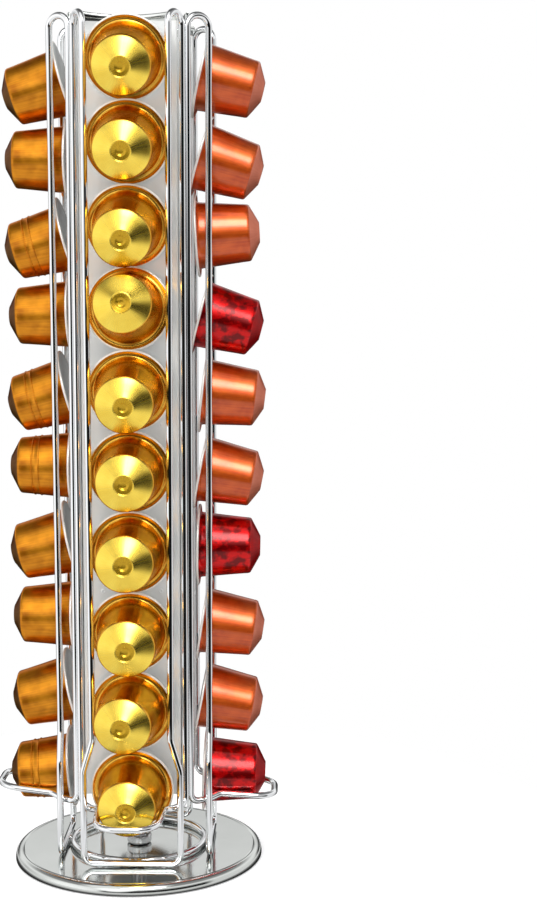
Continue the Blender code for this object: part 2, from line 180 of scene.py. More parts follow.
# %% [markdown]
# ## Light and camera
#
# Polished metal shows its surroundings and little of its own, so the studio is made for what the
# wires reflect. White walls stand at the left and at the right, and black ones behind the camera and
# far behind the stand. Soft boxes hang at the left and high over the camera, dark cards overhead and
# low behind, and a pale table lies below. A chrome wire squeezes all of that into three millimetres,
# and this gives it a white face, a black band along its other side and thin dark edges. Real lamps
# and panels could do this too, but nodes in the world cost nothing and stay out of the picture. They
# light nothing and are only seen in metal.

# %% Nodes and colours
def linear(code):
    """An sRGB hex colour as linear red, green, blue and alpha."""
    values = [int(code[index:index + 2], 16) / 255 for index in (1, 3, 5)]
    return (*[v / 12.92 if v <= 0.04045 else ((v + 0.055) / 1.055) ** 2.4 for v in values], 1.0)


def add_node(tree, kind, inputs=(), **settings):
    """Adds a node. Inputs maps a socket's name or number to a value or to another node's output."""
    node = tree.nodes.new(kind)
    for name, value in settings.items():
        setattr(node, name, value)
    for name, value in dict(inputs).items():
        if isinstance(value, bpy.types.NodeSocket):
            tree.links.new(value, node.inputs[name])
        else:
            node.inputs[name].default_value = value
    return node


def fill_ramp(node, stops):
    """Puts stops of place and grey level on a colour ramp."""
    elements = node.color_ramp.elements
    while len(elements) < len(stops):
        elements.new(0.5)
    for element, (place, level) in zip(elements, stops):
        element.position = place
        element.color = (level, level, level, 1)


# %% Direction of a ray in the studio
world = bpy.data.worlds.new("studio")
bpy.context.scene.world = world
world.use_nodes = True
tree = world.node_tree
tree.nodes.clear()
direction = add_node(tree, "ShaderNodeTexCoord").outputs["Generated"]
parts = add_node(tree, "ShaderNodeSeparateXYZ", {0: direction})
toward_camera = add_node(
    tree, "ShaderNodeMath", {0: parts.outputs["Y"], 1: -1.0}, operation="MULTIPLY"
)
compass = add_node(
    tree, "ShaderNodeMath", {0: parts.outputs["X"], 1: toward_camera.outputs[0]}, operation="ARCTAN2"
)
turn_share = add_node(
    tree, "ShaderNodeMapRange",
    {0: compass.outputs[0], "From Min": -math.pi, "From Max": math.pi},
)
print("direction nodes:", len(tree.nodes))

# %% Walls, bands and the table's edge
# Walls: degrees from the camera's side towards the right, and the brightness there.
WALLS = (
    (-180, 0.05), (-150, 0.05), (-140, 0.90), (-120, 0.60), (-95, 0.90), (-33, 1.00), (-26, 0.01),
    (66, 0.01), (76, 0.80), (140, 0.90), (150, 0.05), (180, 0.05),
)
# Bands: how far up or down a direction points where each begins and is full, and its brightness.
BANDS = (
    (0.13, 0.30, 1.00),    # pale upper walls, which the disc shows
    (0.42, 0.62, 0.30),    # dim ceiling
    (-0.38, -0.60, 1.05),  # table
)
# The table's edge reaches higher up, but not at the right beyond these degrees.
TABLE_EDGE_BEGINS, TABLE_EDGE_FULL = -0.27, -0.32
TABLE_EDGE_ENDS, TABLE_EDGE_WHOLE = 52, 40
TABLE_EDGE_LEVEL = 0.95


def share(degrees):
    """The place on the ramp of a direction, counted from the camera's side towards the right."""
    return (degrees + 180) / 360


walls = add_node(tree, "ShaderNodeValToRGB", {0: turn_share.outputs[0]})
fill_ramp(walls, [(share(degrees), shown) for degrees, shown in WALLS])
level = walls.outputs[0]
for begins, full, shown in BANDS:
    band = add_node(
        tree, "ShaderNodeMapRange", {0: parts.outputs["Z"], "From Min": begins, "From Max": full}
    )
    level = add_node(tree, "ShaderNodeMix", {0: band.outputs[0], 2: level, 3: shown}).outputs[0]
below = add_node(
    tree, "ShaderNodeMapRange",
    {0: parts.outputs["Z"], "From Min": TABLE_EDGE_BEGINS, "From Max": TABLE_EDGE_FULL},
)
leftward = add_node(
    tree, "ShaderNodeMapRange",
    {0: turn_share.outputs[0], "From Min": share(TABLE_EDGE_ENDS), "From Max": share(TABLE_EDGE_WHOLE)},
)
table_edge = add_node(
    tree, "ShaderNodeMath", {0: below.outputs[0], 1: leftward.outputs[0]}, operation="MULTIPLY"
)
level = add_node(
    tree, "ShaderNodeMix", {0: table_edge.outputs[0], 2: level, 3: TABLE_EDGE_LEVEL}
).outputs[0]
print("studio:", len(WALLS), "marks on the walls and", len(BANDS), "bands")

# %% Soft boxes and dark cards
# Each one's direction, the degrees from its middle where it begins and is full, and its brightness.
SCREENS = (
    ((0.00, 0.80, -0.60), 60, 40, 0.03),       # dark card, low behind
    ((0.00, 0.36, 0.93), 38, 28, 0.12),        # dark card overhead
    ((-0.12, -0.60, 0.79), 36, 26, 1.05),      # wide soft box, high over the camera
    ((-0.275, -0.899, 0.342), 20, 10, 1.60),   # soft box over the camera, to the left
    ((0.13, -0.75, 0.64), 18, 8, 11.0),        # small strong box over the camera, to the right
    ((-0.87, -0.48, 0.02), 31, 12, 1.25),      # soft box at the left, level with the stand
)


def screen(level, toward, begins, full, shown):
    """Hangs a round soft box or a dark card in front of what was there."""
    aim = Vector(toward).normalized()
    cosine = add_node(tree, "ShaderNodeVectorMath", {0: direction, 1: aim}, operation="DOT_PRODUCT")
    inside = add_node(
        tree, "ShaderNodeMapRange",
        {0: cosine.outputs["Value"], "From Min": math.cos(math.radians(begins)),
         "From Max": math.cos(math.radians(full))},
    )
    return add_node(tree, "ShaderNodeMix", {0: inside.outputs[0], 2: level, 3: shown}).outputs[0]


for toward, begins, full, shown in SCREENS:
    level = screen(level, toward, begins, full, shown)
print("soft boxes and dark cards:", len(SCREENS))

# %% [markdown]
# Each kind of ray gets its own surroundings. The camera sees plain white behind the stand, metal
# sees the studio above, and all other light is an even, slightly cool glow.

# %% What the camera sees, what metal mirrors and what lights the stand
WHITE = (1, 1, 1, 1)
SKY_TONE = (0.92, 0.93, 0.95, 1)
SKY_STRENGTH = 0.85
ray = add_node(tree, "ShaderNodeLightPath")
seen = add_node(tree, "ShaderNodeBackground", {0: WHITE, 1: 1.0})
mirrored = add_node(tree, "ShaderNodeBackground", {0: WHITE, 1: level})
soft_light = add_node(tree, "ShaderNodeBackground", {0: SKY_TONE, 1: SKY_STRENGTH})
lit = add_node(
    tree, "ShaderNodeMixShader",
    {0: ray.outputs["Is Glossy Ray"], 1: soft_light.outputs[0], 2: mirrored.outputs[0]},
)
whole = add_node(
    tree, "ShaderNodeMixShader", {0: ray.outputs["Is Camera Ray"], 1: lit.outputs[0], 2: seen.outputs[0]}
)
add_node(tree, "ShaderNodeOutputWorld", {0: whole.outputs[0]})
print("world nodes:", len(tree.nodes))

# %% [markdown]
# The floor is white paper. Near the stand it keeps the shadow, and further out it fades to plain
# white. Metal sees it otherwise: a painted shadow under the rim, a bright glow just outside it, and
# open further out, so that the wires show the walls there.

# %% Floor as the camera sees it
# Distances are from the spindle, in millimetres.
FLOOR_SIZE = 900
FLOOR_GLOW = 0.35
WHITE_BEGINS, WHITE_FULL = 90, 220
bpy.ops.mesh.primitive_plane_add(size=FLOOR_SIZE * MM)
floor = bpy.context.object
floor.name = "floor"
paper = bpy.data.materials.new("white paper floor")
paper.use_nodes = True
tree = paper.node_tree
tree.nodes.clear()
ray = add_node(tree, "ShaderNodeLightPath")
glow = add_node(
    tree, "ShaderNodeMath", {0: ray.outputs["Is Camera Ray"], 1: FLOOR_GLOW}, operation="MULTIPLY"
)
lift = add_node(tree, "ShaderNodeEmission", {0: WHITE, 1: glow.outputs[0]})
matt = add_node(tree, "ShaderNodeBsdfDiffuse", {0: linear("#E6E6E6")})
near = add_node(tree, "ShaderNodeAddShader", {0: lift.outputs[0], 1: matt.outputs[0]})
white = add_node(tree, "ShaderNodeEmission", {0: WHITE, 1: 1.0})
place = add_node(tree, "ShaderNodeTexCoord").outputs["Object"]
reach = add_node(tree, "ShaderNodeVectorMath", {0: place}, operation="LENGTH")
away = add_node(
    tree, "ShaderNodeMapRange",
    {0: reach.outputs["Value"], "From Min": WHITE_BEGINS * MM, "From Max": WHITE_FULL * MM},
)
fade = add_node(
    tree, "ShaderNodeMath", {0: away.outputs[0], 1: ray.outputs["Is Camera Ray"]}, operation="MULTIPLY"
)
both = add_node(
    tree, "ShaderNodeMixShader", {0: fade.outputs[0], 1: near.outputs[0], 2: white.outputs[0]}
)

# %% Floor as metal sees it
# Painted shadow: under the rim metal sees the floor glow darkly, rising to a bright glow outside it.
RIM_DARK_ENDS, RIM_BRIGHT_BEGINS = 60, 68
RIM_DARK_LEVEL, RIM_BRIGHT_LEVEL = 0.04, 0.85
OPEN_BEGINS, OPEN_FULL = 85, 120
brighten = add_node(
    tree, "ShaderNodeMapRange",
    {0: reach.outputs["Value"], "From Min": RIM_DARK_ENDS * MM, "From Max": RIM_BRIGHT_BEGINS * MM,
     "To Min": RIM_DARK_LEVEL, "To Max": RIM_BRIGHT_LEVEL},
)
painted_rim_shade = add_node(tree, "ShaderNodeEmission", {0: WHITE, 1: brighten.outputs[0]})
open_floor = add_node(tree, "ShaderNodeBsdfTransparent")
outward = add_node(
    tree, "ShaderNodeMapRange",
    {0: reach.outputs["Value"], "From Min": OPEN_BEGINS * MM, "From Max": OPEN_FULL * MM},
)
mirrored = add_node(
    tree, "ShaderNodeMixShader",
    {0: outward.outputs[0], 1: painted_rim_shade.outputs[0], 2: open_floor.outputs[0]},
)
whole = add_node(
    tree, "ShaderNodeMixShader",
    {0: ray.outputs["Is Glossy Ray"], 1: both.outputs[0], 2: mirrored.outputs[0]},
)
add_node(tree, "ShaderNodeOutputMaterial", {0: whole.outputs[0]})
floor.data.materials.append(paper)
print("floor:", round(floor.dimensions.x / MM), "mm wide,", len(tree.nodes), "nodes")

# %% [markdown]
# Three square lamps light the stand softly and at a plain level. They are hidden from metal, which
# would show them as hard white squares. The camera's place, turn and focal length were fitted to the
# photograph, so that the wires, flanges and disc fall where they do there.

# %% Lamps
# Each lamp's name, its place and width in metres, and its watts.
LAMPS = (
    ("key lamp", (-0.75, -0.80, 0.85), 0.70, 7.0),
    ("fill lamp", (0.85, -0.45, 0.60), 0.50, 3.0),
    ("top lamp", (0.00, -0.10, 1.20), 0.60, 5.0),
)
TOWER_MIDDLE = (0, 0, 0.19)
for name, place, size, power in LAMPS:
    bpy.ops.object.light_add(type="AREA", location=place)
    lamp = bpy.context.object
    lamp.name = name
    lamp.data.size = size
    lamp.data.energy = power
    lamp.visible_glossy = False
    aim = Vector(TOWER_MIDDLE) - Vector(place)
    lamp.rotation_euler = aim.to_track_quat("-Z", "Y").to_euler()
    print(name, power, "W")

# %% Camera
# Its place in metres, its turns in radians, and the focal length in pixels of the photograph.
CAMERA_PLACE = (0.0718, -0.7463, 0.2673)
CAMERA_PITCH = -0.1051
CAMERA_YAW = 0.0157
FOCAL_PIXELS = 1654.8
FRAME_HEIGHT_PIXELS = 900
SENSOR_MM = 36
NEAREST_SEEN = 0.01
bpy.ops.object.camera_add(
    location=CAMERA_PLACE, rotation=(math.pi / 2 + CAMERA_PITCH, 0, CAMERA_YAW)
)
camera = bpy.context.object
camera.data.sensor_width = SENSOR_MM
camera.data.lens = FOCAL_PIXELS / FRAME_HEIGHT_PIXELS * SENSOR_MM
camera.data.clip_start = NEAREST_SEEN
bpy.context.scene.camera = camera
bpy.context.scene.view_settings.view_transform = "Standard"
print("camera: lens", round(camera.data.lens, 1), "mm")

# %% [markdown]
# ## Finishes
#
# The wires and the disc are chrome plate over steel, the back plates are bright rolled sheet, and
# the capsules are anodised aluminium, where a thin dyed oxide lets the metal shine through. A plain
# mirror looks drawn by a computer, so each finish gets a fine unevenness: a noise that raises the
# surface a little and varies its colour and roughness.

# %% A finish and its unevenness
def finish(name, colour, metallic, roughness):
    """A material with a Principled shader. Returns it with its node tree and shader."""
    material = bpy.data.materials.new(name)
    material.use_nodes = True
    shader = material.node_tree.nodes["Principled BSDF"]
    shader.inputs["Base Color"].default_value = linear(colour)
    shader.inputs["Metallic"].default_value = metallic
    shader.inputs["Roughness"].default_value = roughness
    return material, material.node_tree, shader


def grain(tree, shader, per_mm, stretch, height_mm, colour, shade, rough):
    """A noise on Object coordinates that raises the surface and varies its colour and roughness.

    It has per_mm waves in a millimetre, and rough is the least and the most roughness.
    """
    place = add_node(tree, "ShaderNodeTexCoord").outputs["Object"]
    scaled = add_node(tree, "ShaderNodeMapping", {0: place, "Scale": stretch})
    noise = add_node(
        tree, "ShaderNodeTexNoise", {"Vector": scaled.outputs[0], "Scale": per_mm / MM, "Detail": 3.0}
    )
    bump = add_node(
        tree, "ShaderNodeBump",
        {"Height": noise.outputs["Fac"], "Distance": height_mm * MM, "Strength": 1.0},
    )
    tree.links.new(bump.outputs[0], shader.inputs["Normal"])
    mix = add_node(
        tree, "ShaderNodeMix", {0: noise.outputs["Fac"], 6: linear(colour), 7: linear(shade)},
        data_type="RGBA",
    )
    tree.links.new(mix.outputs[2], shader.inputs["Base Color"])
    spread = add_node(
        tree, "ShaderNodeMapRange", {0: noise.outputs["Fac"], "To Min": rough[0], "To Max": rough[1]}
    )
    tree.links.new(spread.outputs[0], shader.inputs["Roughness"])


# %% Chrome, sheet, zinc, nylon and rubber
# Chrome on drawn wire: a near-perfect mirror with a slow waviness left by the drawing, in waves of
# 4 mm across an upright wire and 13 mm along it.
wire_chrome, tree, shader = finish("chrome plated steel wire", "#EEF0F1", 1.0, 0.02)
grain(tree, shader, 0.25, (1, 1, 0.3), 0.003, "#F4F5F6", "#E6E8EA", (0.0, 0.03))
# Satin rolled sheet: pale, with blurred colours of the capsules in front of it, and waves of 17 mm.
# A low metallic value keeps it pale, where a full one would mirror the studio's dark parts.
sheet_chrome, tree, shader = finish("satin rolled sheet", "#F8F9F7", 0.12, 0.24)
grain(tree, shader, 0.06, (1, 1, 1), 0.010, "#FAFBF9", "#F2F3F1", (0.18, 0.30))
# Chrome on a pressed disc: clear mirror images of the wires, a little softened, with waves of 12 mm.
disc_chrome, tree, shader = finish("chrome plated pressed disc", "#D9DCD9", 1.0, 0.10)
grain(tree, shader, 0.08, (1, 1, 1), 0.001, "#DDE0DD", "#D4D7D4", (0.07, 0.13))
# Zinc on bought bolts and nuts: grey, with a gloss mottled in patches of about 1 mm.
zinc_steel, tree, shader = finish("zinc plated steel", "#C8C9CA", 1.0, 0.25)
grain(tree, shader, 0.8, (1, 1, 1), 0.001, "#CCCDCE", "#B4B5B6", (0.15, 0.30))
# Natural nylon: off-white and waxy, with the faint 0.8 mm texture of a moulded washer.
nylon, tree, shader = finish("natural nylon", "#E4E3DC", 0.0, 0.45)
grain(tree, shader, 1.2, (1, 1, 1), 0.004, "#E8E7E0", "#DAD9D1", (0.40, 0.55))
# Black rubber: matt, with pits 0.5 mm apart.
black_rubber, tree, shader = finish("black rubber", "#161616", 0.0, 0.80)
grain(tree, shader, 2.0, (1, 1, 1), 0.010, "#1A1A1A", "#101010", (0.70, 0.90))
print("finishes:", len(bpy.data.materials))

# %% [markdown]
# A capsule is drawn from sheet, so fine drawing lines run along its body. They follow the capsule
# however it leans, so each capsule carries its own coordinates in an attribute named below. The
# lines are a noise that is wound round the axis: its place turns with the capsule's side, and moves
# only slowly with the height, which draws each wave out to a line.

# %% Anodised aluminium
OWN_PLACE = "capsule_place"
# The noise goes round a circle of this radius, which gives about 120 lines round a capsule. Real
# drawing lines are finer, and these are as coarse as they need to be to show.
LINE_CIRCLE = 20.0
# Waves in a metre of height, so a line runs on for about 17 mm.
LINE_RATE = 60
COAT_ROUGHNESS = 0.16
# The dyed oxide under the coat mirrors little by itself.
OXIDE_MIRROR = 0.1
GLOSS_SPREAD = 0.05


def anodised(
    name, colour, shade, roughness, edge, lines_mm=0.0016, cloud_per_mm=0.12, cloud=(0.3, 0.7),
    metallic=1.0, lacquer=0.2, streak=0.2,
):
    """Dyed aluminium with lines along the capsule's axis, a shade that drifts, and a clear coat.

    Edge is the colour of a glancing view, which a dyed metal keeps instead of turning white.
    Lines_mm is how high the lines stand. Cloud_per_mm is how fast the shade drifts, and cloud the
    noise levels that it runs between. Streak is how far the lines darken or lighten the shade, and
    lacquer is the weight of the clear coat.
    """
    material, tree, shader = finish(name, colour, metallic, roughness)
    shader.inputs["Coat Weight"].default_value = lacquer
    shader.inputs["Coat Roughness"].default_value = COAT_ROUGHNESS
    shader.inputs["Specular IOR Level"].default_value = OXIDE_MIRROR
    shader.inputs["Specular Tint"].default_value = linear(edge)
    own = add_node(tree, "ShaderNodeAttribute", attribute_name=OWN_PLACE).outputs["Vector"]
    flat = add_node(tree, "ShaderNodeVectorMath", {0: own, 1: (1, 1, 0)}, operation="MULTIPLY")
    round_it = add_node(tree, "ShaderNodeVectorMath", {0: flat.outputs[0]}, operation="NORMALIZE")
    spread = add_node(
        tree, "ShaderNodeVectorMath", {0: round_it.outputs[0], "Scale": LINE_CIRCLE},
        operation="SCALE",
    )
    along = add_node(
        tree, "ShaderNodeVectorMath", {0: own, 1: (0, 0, LINE_RATE)}, operation="MULTIPLY"
    )
    lines_at = add_node(
        tree, "ShaderNodeVectorMath", {0: spread.outputs[0], 1: along.outputs[0]}, operation="ADD"
    )
    lines = add_node(
        tree, "ShaderNodeTexNoise", {"Vector": lines_at.outputs[0], "Scale": 1.0, "Detail": 2.0}
    )
    clouds = add_node(
        tree, "ShaderNodeTexNoise", {"Vector": own, "Scale": cloud_per_mm / MM, "Detail": 2.0}
    )
    streaks = add_node(
        tree, "ShaderNodeMapRange", {0: lines.outputs["Fac"], "To Min": -streak, "To Max": streak}
    )
    uneven = add_node(
        tree, "ShaderNodeMath", {0: clouds.outputs["Fac"], 1: streaks.outputs[0]}, operation="ADD"
    )
    drift = add_node(
        tree, "ShaderNodeMapRange", {0: uneven.outputs[0], "From Min": cloud[0], "From Max": cloud[1]}
    )
    tint = add_node(
        tree, "ShaderNodeMix", {0: drift.outputs[0], 6: linear(colour), 7: linear(shade)},
        data_type="RGBA",
    )
    tree.links.new(tint.outputs[2], shader.inputs["Base Color"])
    gloss = add_node(
        tree, "ShaderNodeMapRange",
        {0: lines.outputs["Fac"], "To Min": roughness - GLOSS_SPREAD,
         "To Max": roughness + GLOSS_SPREAD},
    )
    tree.links.new(gloss.outputs[0], shader.inputs["Roughness"])
    bump = add_node(
        tree, "ShaderNodeBump",
        {"Height": lines.outputs["Fac"], "Distance": lines_mm * MM, "Strength": 1.0},
    )
    tree.links.new(bump.outputs[0], shader.inputs["Normal"])
    tree.links.new(bump.outputs[0], shader.inputs["Coat Normal"])
    return material


# %% Finishes of the capsules
# Line height of what is pressed and not drawn, in millimetres.
SMOOTH = 0.0001
# Noise levels that lie close together, so the two shades meet in blotches.
MOTTLED = (0.42, 0.58)
# Gold: one gold in a shaded and a lit copy. The body is the deeper tone, a painted shade, with
# faint lines, and the nose is paler, a painted highlight.
shaded_body_gold = anodised(
    "gold anodised aluminium", "#E8B448", "#CC9230", 0.24, "#F4C474", 0.0007, lacquer=0.1
)
lit_nose_gold = anodised(
    "pale gold anodised aluminium", "#FADC5C", "#F0CC4C", 0.26, "#FFF4C0", SMOOTH, streak=0.1
)
# Stamped gold: the bottom of the nose's dish, a shade darker, which is painted shade in the hollow.
dish_shade_gold = anodised(
    "gold aluminium with painted dish shade", "#CBA22C", "#BC9420", 0.28, "#FFF4C0", SMOOTH, metallic=0.8, streak=0.1
)
# Amber: strong lines on the body, and a browner nose, whose darker tone is painted shade.
body_amber = anodised(
    "amber anodised aluminium", "#E69622", "#A8600C", 0.33, "#FFC070", metallic=0.95
)
shaded_nose_amber = anodised("amber aluminium with painted shade", "#94724A", "#7C5C34", 0.36, "#A08050", SMOOTH)
# Copper: a full coat of orange lacquer, so the highlights are pale and broad, and a rosy nose
# that is paler, a painted highlight.
body_copper = anodised(
    "copper lacquered aluminium", "#DE6420", "#B84410", 0.42, "#FFD0B0", metallic=0.85, lacquer=1.0
)
lit_nose_copper = anodised(
    "copper aluminium with painted highlight", "#C87860", "#B86850", 0.40, "#F0B8A8", SMOOTH, metallic=0.7
)
# Red: dyed and lacquered, and mottled with a darker red of the same tone.
body_red = anodised(
    "red lacquered aluminium", "#CE0406", "#700103", 0.36, "#FF9090", 0.0016, 0.24, MOTTLED,
    metallic=0.75, lacquer=0.5, streak=0.04,
)
nose_red = anodised(
    "deep red lacquered aluminium", "#A80508", "#800306", 0.36, "#F09090", SMOOTH, metallic=0.7
)
# Foil: bare and grey on the lid. The flange's rolled edge is painted nearly white, a painted highlight.
lid_foil = anodised(
    "bare aluminium foil", "#DCDDDC", "#C4C5C4", 0.34, "#FFFFFF", SMOOTH, metallic=0.85
)
edge_highlight_foil = anodised(
    "rolled edge with painted highlight", "#F8F2EA", "#ECE6DE", 0.40, "#FFFFFF", SMOOTH, metallic=0.3
)
print("finishes:", len(bpy.data.materials))

# %% [markdown]
# ## The base
#
# The base is a disc pressed from sheet. Its rim turns down in a wide round and stops half a
# millimetre above the table, because the stand rests on a rubber ring under it. A narrow groove
# runs round the flat top just inside the rim. Both are turned shapes, so each is a profile that is
# spun once round the spindle. A cylinder with a bevel would give the disc, but not its groove.

# %% Pressed disc and rubber ring
DISC_STEPS = 128
BORE = 3.3
DISC_TOP = 5.0
DISC_UNDERSIDE = 3.8
FLAT_TOP = ((BORE, DISC_TOP), (3.6, DISC_TOP), (52.6, DISC_TOP), (52.9, DISC_TOP))
GROOVE = ((53.25, 4.75), (53.6, 4.92), (54.2, DISC_TOP))
RIM = (
    (54.9, 4.88), (55.6, 4.5), (56.15, 3.95), (56.5, 3.2), (56.72, 2.3), (56.86, 1.4), (56.9, 0.6),
)
LIP = ((56.8, 0.5), (55.8, 0.5))
INSIDE = ((55.7, 0.6), (55.6, 2.0), (55.0, 3.3), (53.5, DISC_UNDERSIDE), (BORE, DISC_UNDERSIDE))
disc = turned("base_disc", FLAT_TOP + GROOVE + RIM + LIP + INSIDE + FLAT_TOP[:1], DISC_STEPS)
disc.data.materials.append(disc_chrome)
keep(disc, "base", "base_chrome", "base_plate")

FOOT_IN, FOOT_OUT, FOOT_TOP = 48.4, 52.4, 3.5
ring = turned(
    "rubber_foot",
    ((FOOT_IN, FOOT_TOP), (FOOT_OUT, FOOT_TOP), (FOOT_OUT, 0.0), (FOOT_IN, 0.0), (FOOT_IN, FOOT_TOP)),
    DISC_STEPS, ((1, 0.3), (2, 0.5), (3, 0.5)),
)
ring.data.materials.append(black_rubber)
keep(ring, "base", "foot_rubber", "foot_ring")

# %% [markdown]
# ## Spindle and nuts
#
# The spindle is a bolt with a collar that carries the hub. A low round nut with a flat top holds it
# on the disc, and a cap nut keeps the hub from lifting off. What is round is a spun profile again.
# The cap nut is a hexagon with its corners sloped, so it starts as a six-sided cylinder.

# %% Bolt, washers and sleeve
SPINDLE_STEPS = 48
BOLT, COLLAR, HEAD = 3.0, 4.6, 6.0
BOLT_TOP = 67.7
COLLAR_TOP, COLLAR_LOW = 33.4, 30.4
HEAD_TOP, HEAD_LOW = 3.5, 1.0
spindle = turned(
    "spindle_bolt",
    ((0.0, BOLT_TOP), (BOLT, BOLT_TOP), (BOLT, COLLAR_TOP), (COLLAR, COLLAR_TOP),
     (COLLAR, COLLAR_LOW), (BOLT, COLLAR_LOW), (BOLT, HEAD_TOP), (HEAD, HEAD_TOP),
     (HEAD, HEAD_LOW), (0.0, HEAD_LOW)),
    SPINDLE_STEPS, ((1, 0.5), (3, 0.4), (4, 0.4), (7, 0.4), (8, 0.6)),
)
spindle.data.materials.append(zinc_steel)
keep(spindle, "base", "zinc_steel", "spindle")

WASHER_OUT, WASHER_THICK = 5.5, 0.8
for name, node, low in (("washer_low", "thrust_washer", 33.7), ("washer_high", "upper_washer", 63.1)):
    high = low + WASHER_THICK
    washer = turned(
        name, ((BORE, high), (WASHER_OUT, high), (WASHER_OUT, low), (BORE, low), (BORE, high)),
        SPINDLE_STEPS, ((1, 0.2), (2, 0.2)),
    )
    washer.data.materials.append(nylon)
    keep(washer, "base", "nylon", node)

BUSH_IN, BUSH_OUT = 3.08, 5.1
BUSH_TOP, BUSH_LOW = 62.8, 34.8
sleeve = turned(
    "hub_bush",
    ((BUSH_IN, BUSH_TOP), (BUSH_OUT, BUSH_TOP), (BUSH_OUT, BUSH_LOW), (BUSH_IN, BUSH_LOW),
     (BUSH_IN, BUSH_TOP)),
    SPINDLE_STEPS, ((1, 0.4), (2, 0.4)),
)
sleeve.data.materials.append(zinc_steel)
keep(sleeve, "carousel", "zinc_steel", "hub_sleeve")


# %% Cap nut and base nut
ACROSS_FLATS = 10.0
NUT_SLOPE = 1.3
WORN_EDGE = 0.25


def hexagon_nut(name, low, high, bore, blind):
    """A hexagon with sloped corners. Blind is how much of its top stays closed."""
    to_object_mode()
    bpy.ops.object.select_all(action="DESELECT")
    corner = ACROSS_FLATS / 2 / math.cos(math.pi / 6)
    bpy.ops.mesh.primitive_cylinder_add(
        vertices=6, radius=corner * MM, depth=(high - low) * MM, location=(0, 0, (low + high) / 2 * MM)
    )
    nut = bpy.context.object
    nut.name = nut.data.name = name
    bpy.ops.object.transform_apply()
    edit(nut)
    for end in (high, low):
        pick(lambda place: abs(place.z - end) < SAME_PLACE, "FACE")
        bpy.ops.mesh.inset(thickness=NUT_SLOPE * MM)
    pick(lambda place: abs(place.z - high) < SAME_PLACE and place.xy.length > corner - NUT_SLOPE)
    bpy.ops.transform.translate(value=(0, 0, -NUT_SLOPE * MM))
    to_object_mode()
    bpy.ops.mesh.primitive_cylinder_add(
        vertices=SPINDLE_STEPS, radius=bore * MM, depth=(high - low) * MM,
        location=(0, 0, ((low + high) / 2 - blind) * MM),
    )
    drill = bpy.context.object
    cut = nut.modifiers.new("bore", "BOOLEAN")
    cut.object = drill
    apply_all(nut)
    bpy.data.objects.remove(drill)
    bevel = nut.modifiers.new("worn edges", "BEVEL")
    bevel.width = WORN_EDGE * MM
    bevel.segments = 3
    bevel.limit_method = "ANGLE"
    apply_all(nut)
    smooth(nut)
    nut.data.materials.append(zinc_steel)
    return nut


NUT_SIDE = 5.65
NUT_LOW, NUT_HIGH = 5.3, 9.3
base_nut = turned(
    "base_nut",
    ((BORE, NUT_LOW), (BORE, NUT_HIGH), (5.2, NUT_HIGH), (NUT_SIDE, 8.6), (NUT_SIDE, 6.0),
     (5.1, NUT_LOW), (BORE, NUT_LOW)),
    64, ((2, 0.5), (3, 0.5), (4, 0.4)),
)
base_nut.data.materials.append(zinc_steel)
keep(base_nut, "base", "zinc_steel", "lock_nut")
CAP_LOW, CAP_HIGH, CAP_CLOSED = 64.2, 70.2, 2.0
top_nut = hexagon_nut("top_nut", CAP_LOW, CAP_HIGH, BORE, CAP_CLOSED)
keep(top_nut, "base", "zinc_steel", "cap_nut")

# %% [markdown]
# Between the four back plates a flat square of sheet carries the carousel on its bush. It is hidden
# behind them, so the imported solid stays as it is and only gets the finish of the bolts.

# %% Finish of the hub plate
hub_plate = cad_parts["hub_plate"]
hub_plate.data.materials.clear()
hub_plate.data.materials.append(zinc_steel)
print(hub_plate.name, len(hub_plate.data.polygons), "faces")

# %% [markdown]
# ## The carousel's wires
#
# All wires are 3 mm thick. The ring lies just above the disc, and the foot bars of the four frames
# are welded to it, so four small beads of weld belong to the ring. The ring is a torus, and each
# bead is a ball, pressed flat and drawn out along the ring.

# %% Ring with its weld beads
WIRE_RADIUS = 1.5
FOOT_HEIGHT = 6.9
RING_RADIUS = 30.28
BEAD_RADIUS = 1.0
BEAD_PROUD = 0.15
BEAD_RISE = 0.9
BEAD_LONG, BEAD_FLAT = 1.9, 0.8
to_object_mode()
bpy.ops.object.select_all(action="DESELECT")
bpy.ops.mesh.primitive_torus_add(
    major_segments=128, minor_segments=20, major_radius=RING_RADIUS * MM,
    minor_radius=WIRE_RADIUS * MM, location=(0, 0, FOOT_HEIGHT * MM),
)
hoop = bpy.context.object
hoop.name = hoop.data.name = "foot_hoop"
bpy.ops.object.transform_apply()
bead_out = RING_RADIUS + WIRE_RADIUS + BEAD_PROUD
bead_height = FOOT_HEIGHT + BEAD_RISE
bpy.ops.object.mode_set(mode="EDIT")
for quarter in range(4):
    angle = quarter * math.pi / 2
    bpy.ops.mesh.primitive_uv_sphere_add(
        segments=16, ring_count=10, radius=BEAD_RADIUS * MM,
        location=(
            bead_out * MM * math.cos(angle), bead_out * MM * math.sin(angle), bead_height * MM
        ),
    )
    stretch = (1.0, BEAD_LONG) if quarter % 2 == 0 else (BEAD_LONG, 1.0)
    bpy.ops.transform.resize(value=(*stretch, BEAD_FLAT))
smooth(hoop)
hoop.data.materials.append(wire_chrome)
keep(hoop, "carousel", "wire_chrome", "carousel_ring")

# %% [markdown]
# Each column has one endless wire. From the middle of its foot bar it climbs beside the mouth,
# draws in to guard the capsules' flanges, turns over in a hairpin at the top, comes down as a post
# beside the back plate, and runs out at the bottom as one side of the loop that the lowest capsule
# lies in. The other half is the same, so one half is drawn and mirrored. The line then becomes a
# curve, whose round bevel gives it the thickness of the wire all the way round.

# %% Corners of half a frame
# Sides are from the column's middle, and outs and heights from the spindle and the table.
MOUTH_SIDE = 21.5
GUARD_LOW_SIDE, GUARD_HIGH_SIDE = 17.3, 18.2
GUARD_LOW_OUT, GUARD_HIGH_OUT = 33.58, 34.58
FLARE_LOW, FLARE_HIGH = 48.73, 62.73
HAIRPIN_TOP = 378.5
POST_SIDE, POST_OUT, POST_FOOT = 23.25, 25.58, 31.8
LOOP_HEIGHT = 33.0
